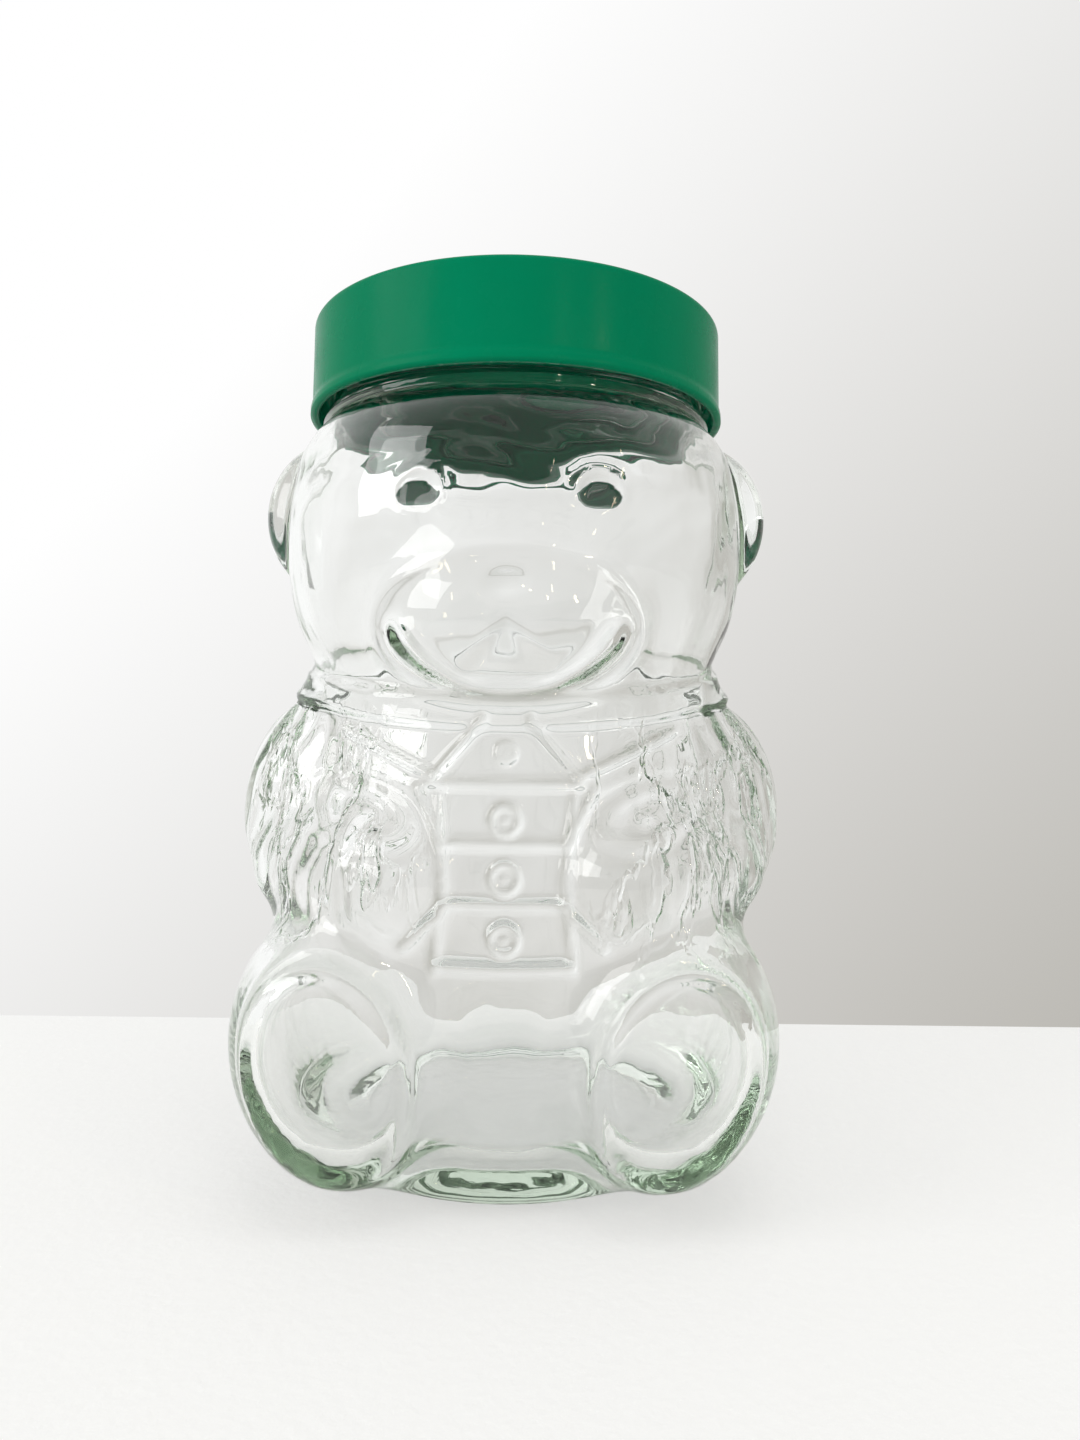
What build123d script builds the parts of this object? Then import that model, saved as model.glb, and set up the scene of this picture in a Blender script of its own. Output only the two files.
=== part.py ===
from build123d import *
from math import atan2, cos, degrees, radians, sin, sqrt
import os

# A glass storage jar in the form of a sitting teddy bear, with a screw lid and its sealing ring.
# Millimetres, +Z up. The origin is on the floor, under the middle of the jar's depth, and the bear
# faces -Y. Everything is modelled about the axis of the neck, and then moved to that origin.

# Jar: the round trunk, which is also the head. Its crown is where the neck's shoulder begins, and
# a share of a height is a share of the crown's height over the floor.
glass_height = 174.9
neck_tall = 24.9
shoulder_rise = 5.5
base_diameter = 82.0
heel_diameter = 93.0
heel_height_share = 0.0333
belly_diameter = 100.0
belly_height_share = 0.2667
chest_diameter = 95.6
chest_height_share = 0.5
throat_diameter = 87.0
throat_height_share = 0.6667
jaw_diameter = 96.0
jaw_height_share = 0.7467
head_diameter = 100.8
head_height_share = 0.84
brow_diameter = 99.6
brow_height_share = 0.9267
crown_diameter = 93.6
wall = 3.4
floor_thickness = 6.0
push_up_depth = 1.6
rest_ring_width = 5.0
cut_overrun = 5.0
ball_steps = 2

# Jar: neck finish, a wide mouth
neck_diameter = 83.8
neck_wall = 3.4
neck_flare = 1.1
rim_bevel = 0.8
bead_diameter = 85.4
bead_height = 3.0
bead_below_lid = 1.2

# Jar: face
front_reach = 55.0
muzzle_width = 52.0
muzzle_height = 37.0
muzzle_centre_height_share = 0.7367
nose_width = 9.0
nose_height = 5.0
nose_proud = 1.2
eye_spacing = 33.4
eye_height_share = 0.8867
eye_diameter = 9.0
eye_proud = 2.2
eyelid_diameter = 13.6
eyelid_proud = 1.0
ear_width = 30.0
ear_tall = 38.0
ear_thickness = 12.0
ear_edge = 3.4
ear_centre_height_share = 0.9133
ear_set_back = 4.0

# Jar: arms, which come round to the belly
arm_reach = 58.5
arm_diameter = 41.0
arm_tall = 52.0
arm_centre_height_share = 0.4733
arm_forward = 7.0
elbow_spread = 82.0
elbow_forward = 16.0
forearm_diameter = 25.0
paw_diameter = 17.0
paw_tall = 22.0
paw_gap = 22.0
paw_forward = 44.0
paw_height_share = 0.4033

# Jar: legs, stretched forward with the soles to the front
leg_width = 47.0
leg_tall = 58.0
leg_lean = 15.0
leg_rise = 5.0
leg_spread = 64.0
leg_hip_height_share = 0.165
hip_back = 8.0
hip_bevel = 16.0
thigh_forward = 18.0
shin_inset = 4.6
sole_step = 11.0
sole_inset = 5.4

# Jar: clothes, a collar and a buttoned waistcoat
collar_height_share = 0.67
collar_tall = 6.0
collar_tilt = 10.0
collar_proud = 1.6
collar_taper = 0.8
button_diameter = 6.2
button_proud = 1.4
button_height_shares = [0.572, 0.49, 0.4207, 0.346]

# Lid: a plain moulded cap with a stiffening bead round its edge. The room is between the neck and
# the skirt, for the thread.
lid_height = 20.0
lid_thread_room = 2.2
lid_top_thickness = 1.6
lid_skirt_wall = 1.5
lid_skirt_draft = 0.4
lid_bead_proud = 0.4
lid_bead_height = 1.6
lid_edge_bevel = 1.1

# Sealing ring, loose between the rim and the lid
ring_thickness = 1.0
ring_overlap = 1.0
ring_clearance = 0.3

neck_radius = neck_diameter / 2
mouth_radius = neck_radius - neck_wall
lid_inside_radius = neck_radius + lid_thread_room
lid_skirt_radius = lid_inside_radius + lid_skirt_wall
lid_under_height = glass_height + ring_thickness
lid_top_height = lid_under_height + lid_top_thickness
lid_bottom_height = lid_top_height - lid_height
back_reach = head_diameter / 2
crown_height = glass_height - neck_tall
muzzle_centre_height = crown_height * muzzle_centre_height_share
eye_height = crown_height * eye_height_share
ear_centre_height = crown_height * ear_centre_height_share
arm_centre_height = crown_height * arm_centre_height_share
paw_height = crown_height * paw_height_share
leg_hip_height = crown_height * leg_hip_height_share
collar_height = crown_height * collar_height_share

# Outline of the trunk, from the floor to the foot of the neck: radius and height.
trunk_outline = [
    (base_diameter / 2, 0),
    (heel_diameter / 2, crown_height * heel_height_share),
    (belly_diameter / 2, crown_height * belly_height_share),
    (chest_diameter / 2, crown_height * chest_height_share),
    (throat_diameter / 2, crown_height * throat_height_share),
    (jaw_diameter / 2, crown_height * jaw_height_share),
    (head_diameter / 2, crown_height * head_height_share),
    (brow_diameter / 2, crown_height * brow_height_share),
    (crown_diameter / 2, crown_height),
    (neck_radius + neck_flare, crown_height + shoulder_rise),
]

# The inside of the glass is smoother: it keeps every second point of the outline, from the base.
inside_outline = trunk_outline[::2] + trunk_outline[-1:]


def trunk_radius(height):
    """Radius of the trunk at a height, on the outline's straight runs."""
    for below, above in zip(trunk_outline, trunk_outline[1:]):
        if height <= above[1]:
            part = (height - below[1]) / (above[1] - below[1])
            return below[0] + part * (above[0] - below[0])


def front_of(radius, across=0):
    """Y of the front of a round section, at a distance to the side of the middle."""
    return -sqrt(radius**2 - across**2)


def both_sides(piece):
    return [piece, mirror(piece, about=Plane.YZ)]


def capsule(start, end, radius):
    """A round bar with ball ends, each turned in straight steps that touch its ball.

    Start and end are the centres of the balls.
    """
    axis = Vector(end) - Vector(start)
    half = axis.length / 2
    corner = radius / cos(radians(45 / ball_steps))
    angles = [radians(90 * (step + 1 / 2) / ball_steps) for step in range(ball_steps)]
    upper = [(corner * cos(angle), half + corner * sin(angle)) for angle in angles]
    lower = [(across, -along) for across, along in reversed(upper)]
    outline = Polyline(*upper, (0, half + radius), (0, -half - radius), *lower, close=True)
    bar = revolve(Plane.XZ * make_face(outline), Axis.Z)
    return Plane(origin=(Vector(start) + Vector(end)) / 2, z_dir=axis) * bar


def trunk(inset=0, floor=0):
    """The torso and head as one turned body, drawn in by an inset above a floor."""
    outline = inside_outline if inset else trunk_outline
    points = [(radius - inset, max(height, floor)) for radius, height in outline]
    outline = Polyline((0, floor), *points, (0, points[-1][1]), close=True)
    return revolve(Plane.XZ * make_face(outline), Axis.Z)


def muzzle():
    """The snout, a level round bar across the front of the head."""
    radius = muzzle_height / 2
    reach = muzzle_width / 2 - radius
    centre = nose_proud - front_reach + radius
    start = (-reach, centre, muzzle_centre_height)
    end = (reach, centre, muzzle_centre_height)
    return capsule(start, end, radius)


def nose():
    radius = nose_height / 2
    reach = nose_width / 2 - radius
    height = muzzle_centre_height + nose_height
    return capsule((-reach, radius - front_reach, height), (reach, radius - front_reach, height), radius)


def upper_arm(inset=0):
    """The upper arm on the +X side, upright."""
    across = arm_reach - arm_diameter / 2
    half = (arm_tall - arm_diameter) / 2
    low = (across, -arm_forward, arm_centre_height - half)
    high = (across, -arm_forward, arm_centre_height + half)
    return capsule(low, high, arm_diameter / 2 - inset)


def forearm():
    """The forearm on the +X side, level, from the elbow round to the wrist."""
    elbow = (elbow_spread / 2, -elbow_forward, paw_height)
    wrist = ((paw_gap + forearm_diameter) / 2, paw_diameter / 2 - paw_forward, paw_height)
    return capsule(elbow, wrist, forearm_diameter / 2)


def paw():
    """The paw on the +X side, upright."""
    half = (paw_tall - paw_diameter) / 2
    across = (paw_gap + paw_diameter) / 2
    low = (across, -paw_forward, paw_height - half)
    high = (across, -paw_forward, paw_height + half)
    return capsule(low, high, paw_diameter / 2)


def leg_section(drawn_in):
    """The leg's outline from the front: a slot, drawn in all round."""
    tall = leg_tall - 2 * drawn_in
    wide = leg_width - 2 * drawn_in
    if tall > wide:
        return SlotOverall(tall, wide)
    return Rot(Z=90) * SlotOverall(wide, tall)


def leg(inset=0):
    """The leg on the +X side: a leaning slot carried forward and a little up.

    It narrows in two steps, and its sole's lower edge reaches the front. Inside, it begins in
    front of the hip's bevel.
    """
    lean = radians(leg_lean)
    rise = radians(leg_rise)
    frame = Plane(
        origin=(leg_spread / 2, hip_back, leg_hip_height),
        x_dir=(sin(lean), cos(lean) * sin(rise), cos(lean) * cos(rise)),
        z_dir=(0, -cos(rise), sin(rise)),
    )
    sole_half = leg_tall / 2 - shin_inset - sole_inset
    reach = (front_reach + hip_back - sole_half * sin(rise)) / cos(rise)
    knee = hip_back + thigh_forward
    start = hip_bevel if inset else 0
    shin_length = reach - knee - sole_step - inset
    hip = Pos(0, 0, start) * extrude(leg_section(inset), knee - start)
    if not inset:
        hip = chamfer(hip.edges().group_by(Axis.Z)[0], hip_bevel)
    shin = Pos(0, 0, knee) * extrude(
        leg_section(inset), shin_length, taper=degrees(atan2(shin_inset, shin_length))
    )
    sole = Pos(0, 0, knee + shin_length) * extrude(
        leg_section(inset + shin_inset), sole_step, taper=degrees(atan2(sole_inset, sole_step))
    )
    return frame * hip.fuse(shin, sole)


def ear():
    """The ear on the +X side: a solid disc of glass, standing edge on to the front."""
    frame = Plane(
        origin=(arm_reach - wall / 2 - ear_width / 2, ear_set_back, ear_centre_height),
        x_dir=(1, 0, 0),
        z_dir=(0, -1, 0),
    )
    disc = extrude(Ellipse(ear_width / 2, ear_tall / 2), ear_thickness / 2, both=True)
    disc = chamfer(disc.edges().filter_by(GeomType.LINE, reverse=True), ear_edge)
    return frame * disc


def eye():
    """The eye on the +X side: a domed pupil on a low round lid."""
    across = eye_spacing / 2
    radius = trunk_radius(eye_height)
    front = front_of(radius, across)
    frame = Plane(origin=(across, front, eye_height), z_dir=(across, front, 0))
    depth = eyelid_diameter / 3
    lid = Pos(0, 0, eyelid_proud - depth / 2) * Cylinder(eyelid_diameter / 2, depth)
    lid = chamfer(lid.edges().group_by(Axis.Z)[-1], eyelid_proud / 2)
    pupil = Pos(0, 0, eye_proud - depth / 2) * Cylinder(eye_diameter / 2, depth)
    pupil = chamfer(pupil.edges().group_by(Axis.Z)[-1], eye_proud / 2)
    return [frame * lid, frame * pupil]


def collar():
    """A band round the throat, lower at the front."""
    low = trunk_radius(collar_height) + collar_proud
    band = Cone(low, low - collar_taper, collar_tall)
    return Pos(0, 0, collar_height) * Rot(X=collar_tilt) * band


def button(height):
    """A raised disc on the waistcoat's middle line."""
    frame = Plane(origin=(0, front_of(trunk_radius(height)), height), z_dir=(0, -1, 0))
    disc = Cylinder(button_diameter / 2, 2 * button_proud)
    return frame * chamfer(disc.edges().group_by(Axis.Z)[-1], button_proud / 2)


def neck():
    """The finish: the neck with its bead under the lid."""
    tube = Pos(0, 0, (crown_height + glass_height) / 2) * Cylinder(neck_radius, glass_height - crown_height)
    tube = chamfer(tube.edges().group_by(Axis.Z)[-1], rim_bevel)
    bead = Pos(0, 0, lid_bottom_height - bead_below_lid - bead_height / 2) * Cylinder(
        bead_diameter / 2, bead_height
    )
    return [tube, bead]


def cavity():
    """Everything inside the glass, up through the mouth."""
    inside = both_sides(upper_arm(wall)) + both_sides(leg(wall))
    high = glass_height + cut_overrun
    inside.append(Pos(0, 0, (crown_height + high) / 2) * Cylinder(mouth_radius, high - crown_height))
    room = trunk(wall, floor_thickness).fuse(*inside)
    above_floor = Pos(0, 0, floor_thickness + high) * Box(4 * front_reach, 4 * front_reach, 2 * high)
    return room & above_floor


def push_up():
    """The shallow dish under the base, inside the ring that the jar stands on."""
    edge = base_diameter / 2 - rest_ring_width
    depth = push_up_depth + cut_overrun
    dish = Cone(edge + depth, edge, depth)
    return Pos(0, 0, push_up_depth - depth / 2) * dish


def make_glass_jar():
    outside = [muzzle(), nose(), collar()] + neck()
    for piece in [upper_arm(), forearm(), paw(), leg(), ear()] + eye():
        outside += both_sides(piece)
    outside += [button(crown_height * share) for share in button_height_shares]
    glass = trunk().fuse(*outside)
    above_floor = Pos(0, 0, glass_height) * Box(4 * front_reach, 4 * front_reach, 2 * glass_height)
    return (glass & above_floor) - cavity() - push_up()


def make_screw_lid():
    outline = Polyline(
        (0, lid_bottom_height),
        (lid_skirt_radius + lid_bead_proud, lid_bottom_height),
        (lid_skirt_radius + lid_bead_proud, lid_bottom_height + lid_bead_height),
        (lid_skirt_radius, lid_bottom_height + 2 * lid_bead_height),
        (lid_skirt_radius - lid_skirt_draft, lid_top_height - lid_edge_bevel),
        (lid_skirt_radius - lid_skirt_draft - lid_edge_bevel, lid_top_height),
        (0, lid_top_height),
        close=True,
    )
    cap = revolve(Plane.XZ * make_face(outline), Axis.Z)
    depth = lid_under_height - lid_bottom_height + cut_overrun
    hollow = Pos(0, 0, lid_under_height - depth / 2) * Cylinder(lid_inside_radius, depth)
    return cap - hollow


def make_sealing_ring():
    middle = glass_height + ring_thickness / 2
    disc = Pos(0, 0, middle) * Cylinder(lid_inside_radius - ring_clearance, ring_thickness)
    hole = Pos(0, 0, middle) * Cylinder(mouth_radius - ring_overlap, ring_thickness + cut_overrun)
    return disc - hole


to_origin = Pos(0, (front_reach - back_reach) / 2, 0)
os.makedirs("parts", exist_ok=True)
export_step(to_origin * make_glass_jar(), "parts/glass_jar.step")
export_step(to_origin * make_screw_lid(), "parts/screw_lid.step")
export_step(to_origin * make_sealing_ring(), "parts/sealing_ring.step")
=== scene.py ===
"""A glass storage jar in the form of a sitting bear, with its screw lid and sealing ring.

The jar is one closed skin, outside and inside, found on rays from the neck's axis. Its shape is a
sum of rounded forms, each given by how far a point lies outside it. Lengths are in metres.
"""

from math import cos, pi, radians, sin, sqrt, tau

import bpy
import numpy as np
from bpy.props import (
    FloatProperty,
    FloatVectorProperty,
    IntProperty,
    PointerProperty,
)
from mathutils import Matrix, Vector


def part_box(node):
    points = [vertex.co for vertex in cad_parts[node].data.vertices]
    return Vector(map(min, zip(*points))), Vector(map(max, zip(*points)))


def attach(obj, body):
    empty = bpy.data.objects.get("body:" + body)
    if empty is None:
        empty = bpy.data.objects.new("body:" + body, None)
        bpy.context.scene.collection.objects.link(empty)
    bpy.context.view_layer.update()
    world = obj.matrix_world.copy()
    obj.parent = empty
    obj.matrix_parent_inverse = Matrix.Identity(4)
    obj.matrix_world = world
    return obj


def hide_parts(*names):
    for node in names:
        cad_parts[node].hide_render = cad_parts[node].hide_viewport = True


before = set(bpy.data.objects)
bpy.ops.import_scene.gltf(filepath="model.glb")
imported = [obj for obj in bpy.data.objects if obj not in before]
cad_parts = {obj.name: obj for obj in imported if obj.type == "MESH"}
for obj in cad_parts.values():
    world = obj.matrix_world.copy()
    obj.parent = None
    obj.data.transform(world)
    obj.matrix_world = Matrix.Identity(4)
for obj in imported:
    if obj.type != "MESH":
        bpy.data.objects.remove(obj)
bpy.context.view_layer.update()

bl_info = {
    "name": "Bear Jar",
    "version": (1, 0, 0),
    "blender": (4, 5, 0),
    "location": "3D View > Sidebar > Bear Jar",
    "description": "Builds a glass bear jar with a screw lid over its packed frame",
    "category": "Add Mesh",
}

MM = 0.001
SMALL = 1e-9

jar_low, jar_high = (np.array(corner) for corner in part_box("glass_jar"))
lid_low, lid_high = (np.array(corner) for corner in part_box("screw_lid"))
ring_low, ring_high = (np.array(corner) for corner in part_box("sealing_ring"))
axis_y = float(lid_low[1] + lid_high[1]) / 2
front_y = float(jar_low[1])
rim_height = float(jar_high[2])


def length(name, description, millimetres):
    """A length that the panel shows, given in millimetres."""
    return FloatProperty(
        name=name,
        description=description,
        default=millimetres * MM,
        unit="LENGTH",
        precision=5,
    )


def place(name, description, millimetres):
    """A point or a set of three half sizes, given in millimetres."""
    return FloatVectorProperty(
        name=name,
        description=description,
        default=tuple(value * MM for value in millimetres),
        subtype="XYZ",
        unit="LENGTH",
        size=3,
        precision=5,
    )


def angle(name, description, degrees):
    """An angle, given in degrees."""
    return FloatProperty(
        name=name, description=description, default=radians(degrees), subtype="ANGLE"
    )


def share(name, description, value):
    """A number from 0 to 1."""
    return FloatProperty(name=name, description=description, default=value, min=0.0, max=1.0)


def colour(name, description, value):
    """A colour as it is written in a material."""
    return FloatVectorProperty(
        name=name,
        description=description,
        default=value,
        subtype="COLOR",
        size=len(value),
        min=0.0,
        max=1.0,
    )


class BearJarBody(bpy.types.PropertyGroup):
    """Sizes of the trunk, the head and the limbs, in the frame's own axes."""

    base_radius: length("Base radius", "Radius of the trunk on the floor", 40.5)
    heel_radius: length("Heel radius", "Radius just above the base's rounding", 45.6)
    belly_radius: length("Belly radius", "Radius at the hips", 50.0)
    chest_radius: length("Chest radius", "Radius behind the upper arms", 47.4)
    throat_radius: length("Throat radius", "Least radius, under the chin", 43.6)
    cheek_radius: length("Cheek radius", "Radius at the jaw", 48.6)
    head_radius: length("Head radius", "Largest radius of the head", 50.4)
    brow_radius: length("Brow radius", "Radius above the eyes", 49.4)
    crown_radius: length("Crown radius", "Radius where the shoulder starts", 46.4)
    root_radius: length("Root radius", "Radius at the foot of the neck", 42.4)
    base_rounding: length("Base rounding", "Edge radius round the base", 8.0)
    push_up: length("Push-up", "Depth of the dish under the base", 1.6)
    rest_ring: length("Rest ring", "Width of the ring that the jar stands on", 5.0)
    wall: length("Wall", "Usual thickness of the glass", 3.3)
    wall_more: length("More wall", "How much thicker the wall is at the floor", 3.0)
    floor_glass: length("Floor glass", "Thickness of the glass in the floor", 6.0)
    join: length("Join", "Rounding where limbs meet the trunk", 7.0)
    muzzle_centre: place("Muzzle centre", "Middle of the snout", (0.0, -33.7, 110.3))
    muzzle_half: place("Muzzle half size", "Half sizes of the snout", (26.0, 19.0, 18.3))
    nose_centre: place("Nose centre", "Middle of the nose", (0.0, -50.1, 115.0))
    nose_half: place("Nose half size", "Half sizes of the nose", (4.4, 2.5, 2.6))
    ear_centre: place("Ear centre", "Middle of the ear on the right", (41.0, 4.5, 137.5))
    ear_half: place("Ear half size", "Half sizes of the ear", (16.2, 6.4, 18.0))
    arm_centre: place("Upper arm centre", "Middle of the upper arm", (38.0, -4.0, 71.5))
    arm_half: place("Upper arm half size", "Half sizes of the arm", (20.5, 20.5, 26.5))
    elbow: place("Elbow", "Start of the forearm", (41.0, -18.0, 62.0))
    elbow_radius: length("Elbow radius", "Radius of the forearm at the elbow", 12.0)
    wrist: place("Wrist", "End of the forearm", (25.0, -38.0, 62.0))
    wrist_radius: length("Wrist radius", "Radius of the forearm at the wrist", 10.8)
    paw_centre: place("Paw centre", "Middle of the paw", (20.5, -43.0, 61.0))
    paw_half: place("Paw half size", "Half sizes of the paw", (8.6, 9.0, 10.4))
    leg_centre: place("Leg centre", "Widest place of the leg", (30.8, -26.0, 27.8))
    leg_half: place("Leg half size", "Half width, length forwards, half height", (22.2, 34.5, 27.4))
    leg_lean: angle("Leg lean", "How far the leg's outline leans outwards", 15.0)
    leg_climb: share("Leg climb", "How far a leg's middle rises for each metre forwards", 0.05)
    sole_round: length("Sole rounding", "Rounding from the leg's side to the sole", 3.0)


class BearJarRelief(bpy.types.PropertyGroup):
    """Sizes of what is raised on the glass: face, collar, waistcoat, sleeves and soles."""

    eye_across: length("Eye distance", "Distance of an eye from the middle", 16.7)
    eye_height: length("Eye height", "Height of the eyes", 133.0)
    eye_half_width: length("Eye half width", "Half width of an eye", 3.8)
    eye_half_height: length("Eye half height", "Half height of an eye", 3.0)
    eye_raised: length("Eye raised", "How far an eye stands out", 1.5)
    lid_radius: length("Eyelid radius", "Radius of the ridge over the eye", 6.2)
    lid_raised: length("Eyelid raised", "How far the eyelid stands out", 0.12)
    smile_radius: length("Smile radius", "Radius of the mouth's curve", 23.6)
    smile_height: length("Smile height", "Height of the mouth's middle", 96.6)
    smile_depth: length("Smile depth", "Depth of the mouth's groove", 3.2)
    lip_raised: length("Lip raised", "How far the mound over the mouth stands out", 0.6)
    smile_swing: angle("Smile swing", "Half the angle that the mouth covers", 60.0)
    collar_height: length("Collar height", "Height of the collar at the sides", 101.0)
    collar_tall: length("Collar tall", "Height of the collar's band", 6.0)
    collar_raised: length("Collar raised", "How far the collar stands out", 1.5)
    collar_slope: share("Collar slope", "Fall of the collar for each metre forwards", 0.18)
    button_radius: length("Button radius", "Radius of a button", 3.1)
    button_raised: length("Button raised", "How far a button stands out", 1.6)
    seam_raised: length("Seam raised", "How far a seam stands out", 1.6)
    seam_width: length("Seam width", "Half width of a seam", 0.8)
    fold_raised: length("Fold raised", "How far a sleeve's folds stand out", 0.7)
    fold_count: IntProperty(name="Folds", description="Folds round a sleeve", default=13)
    pad_raised: length("Pad raised", "How far the rim of a sole stands out", 1.3)
    wave_inside: length("Waves inside", "Waviness of the inner wall", 0.4)


class BearJarFinish(bpy.types.PropertyGroup):
    """Sizes of the neck's finish, the lid and the ring."""

    neck_radius: length("Neck radius", "Radius of the neck under the lid", 41.9)
    mouth_radius: length("Mouth radius", "Radius of the bore", 38.5)
    rim_round: length("Rim rounding", "Rounding of the rim", 1.2)
    bead_radius: length("Bead radius", "Radius of the bead under the lid", 42.8)
    bead_height: length("Bead height", "Height of the bead's middle", 155.9)
    bead_half: length("Bead half width", "Half the height of the bead", 1.2)
    thread_pitch: length("Thread pitch", "Rise of the screw thread in one turn", 5.08)
    thread_raised: length("Thread raised", "How far the thread stands out", 1.35)
    thread_half: length("Thread half width", "Half the width of the thread", 1.1)
    thread_below_rim: length("Thread below rim", "From the rim to the thread's end", 3.4)
    thread_turns: FloatProperty(name="Thread turns", description="Turns of thread", default=1.5)
    lid_wall: length("Lid wall", "Thickness of the lid's skirt", 1.5)
    lid_panel: length("Lid panel", "Thickness of the lid's top", 1.6)
    lid_draft: length("Lid draft", "How far the skirt leans in at its top", 0.4)
    lid_corner: length("Lid corner", "Rounding of the lid's top edge", 1.0)
    lid_bead: length("Lid bead", "How far the lid's lower bead stands out", 0.4)
    lid_bead_tall: length("Lid bead height", "Height of the lid's lower bead", 2.2)
    ring_width: length("Ring width", "Width of the sealing ring", 6.3)


class BearJarLooks(bpy.types.PropertyGroup):
    """Colours and light."""

    glass_tint: colour("Glass tint", "What the glass lets through", (0.36, 0.56, 0.34, 1.0))
    glass_depth: FloatProperty(name="Glass depth", description="Density of the tint", default=8.5)
    lid_colour: colour("Lid colour", "Colour of the lid", (0.0, 0.198, 0.092, 1.0))
    lid_deep: colour("Lid deep colour", "Darker flow marks in the lid", (0.0, 0.178, 0.080, 1.0))
    ring_colour: colour("Ring colour", "Colour of the sealing ring", (0.010, 0.06, 0.035, 1.0))
    floor_colour: colour("Floor colour", "Colour of the floor", (0.88, 0.88, 0.865, 1.0))
    floor_even: colour("Floor even light", "The floor with no shade", (0.92, 0.92, 0.905, 1.0))
    even_direct: share("Even directly", "Share of even white that the camera sees", 0.58)
    even_through: share("Even through glass", "Share of even white seen through glass", 0.45)
    even_fill: share("Even fill", "Strength of the light from all round", 0.74)
    bounces: IntProperty(name="Bounces", description="Turns of light in the glass", default=32)
    wall_light: colour("Wall light", "Lighter side of the backdrop", (1.0, 1.0, 1.0, 1.0))
    wall_shade: colour("Wall shade", "Darker side of the backdrop", (0.48, 0.465, 0.43, 1.0))
    room_shade: colour("Room shade", "The room seen through the glass", (0.70, 0.71, 0.68, 1.0))
    room_dark: colour("Room dark", "The room mirrored in glass and lid", (0.06, 0.06, 0.06, 1.0))


def rounded(part):
    """A smooth step: 0 up to 0, 1 from 1 on, and 3 p p - 2 p p p between."""
    part = np.clip(part, 0.0, 1.0)
    return part * part * (3.0 - 2.0 * part)


def inside(distance, edge):
    """1 where a distance is well below zero and 0 well above it, over a soft edge."""
    return rounded(0.5 - distance / edge)


def joined(first, second, rounding):
    """The lesser of two distances, rounded where they meet.

    It is the minimum less h h rounding / 4, where h is how near to equal they are.
    """
    near = np.maximum(rounding - np.abs(first - second), 0.0) / rounding
    return np.minimum(first, second) - near * near * rounding / 4


def common(first, second, rounding):
    """The greater of two distances, rounded where they meet."""
    return -joined(-first, -second, rounding)


def ellipsoid(x, y, z, centre, half):
    """Near the skin, how far a point lies outside an ellipsoid: k (k - 1) / g.

    k is the point's size in half sizes, and g is that of its slope.
    """
    u = (x - centre[0]) / half[0]
    v = (y - centre[1]) / half[1]
    w = (z - centre[2]) / half[2]
    k = np.sqrt(u * u + v * v + w * w)
    g = np.sqrt((u / half[0]) ** 2 + (v / half[1]) ** 2 + (w / half[2]) ** 2)
    return k * (k - 1.0) / np.maximum(g, SMALL)


def tapered_bar(x, y, z, start, end, start_radius, end_radius):
    """Distance from a round bar that narrows from one end to the other."""
    run = np.array(end) - np.array(start)
    offset = [x - start[0], y - start[1], z - start[2]]
    along = sum(part * step for part, step in zip(offset, run)) / float(run @ run)
    along = np.clip(along, 0.0, 1.0)
    away = sum((part - step * along) ** 2 for part, step in zip(offset, run))
    return np.sqrt(away) - (start_radius + (end_radius - start_radius) * along)


def through_points(height, heights, radii):
    """A cubic through points, whose slope at each is the mean slope of its neighbours."""
    heights = np.array(heights)
    radii = np.array(radii)
    slopes = np.gradient(radii, heights)
    low = np.clip(np.searchsorted(heights, height) - 1, 0, len(heights) - 2)
    span = heights[low + 1] - heights[low]
    part = np.clip((height - heights[low]) / span, 0.0, 1.0)
    rise = rounded(part)
    lead = part * (1.0 - part) ** 2 * span * slopes[low]
    trail = part * part * (part - 1.0) * span * slopes[low + 1]
    return radii[low] * (1.0 - rise) + radii[low + 1] * rise + lead + trail


def trunk(x, y, z, body, shrink):
    """Distance from the turned trunk and head, whose radius goes with the height."""
    heights = [0.0, 8.0, 40.0, 75.0, 101.0, 114.0, 128.0, 141.0, 150.5, 155.5, 170.0]
    heel_share = 0.3
    radii = [
        body.heel_radius,
        body.heel_radius + heel_share * (body.belly_radius - body.heel_radius),
        body.belly_radius,
        body.chest_radius,
        body.throat_radius,
        body.cheek_radius,
        body.head_radius,
        body.brow_radius,
        body.crown_radius,
        body.root_radius,
        body.root_radius,
    ]
    radius = through_points(z, [height * MM for height in heights], radii)
    return np.hypot(x, y - axis_y) - radius + shrink


def leg_offsets(side, ahead, z, body):
    """A point's offsets from the leg's middle along the two axes of its leaning oval."""
    across = side - body.leg_centre[0]
    rise = z - body.leg_centre[2] - body.leg_climb * ahead
    lean_x = cos(body.leg_lean)
    lean_z = sin(body.leg_lean)
    return across * lean_x - rise * lean_z, across * lean_z + rise * lean_x


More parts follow.
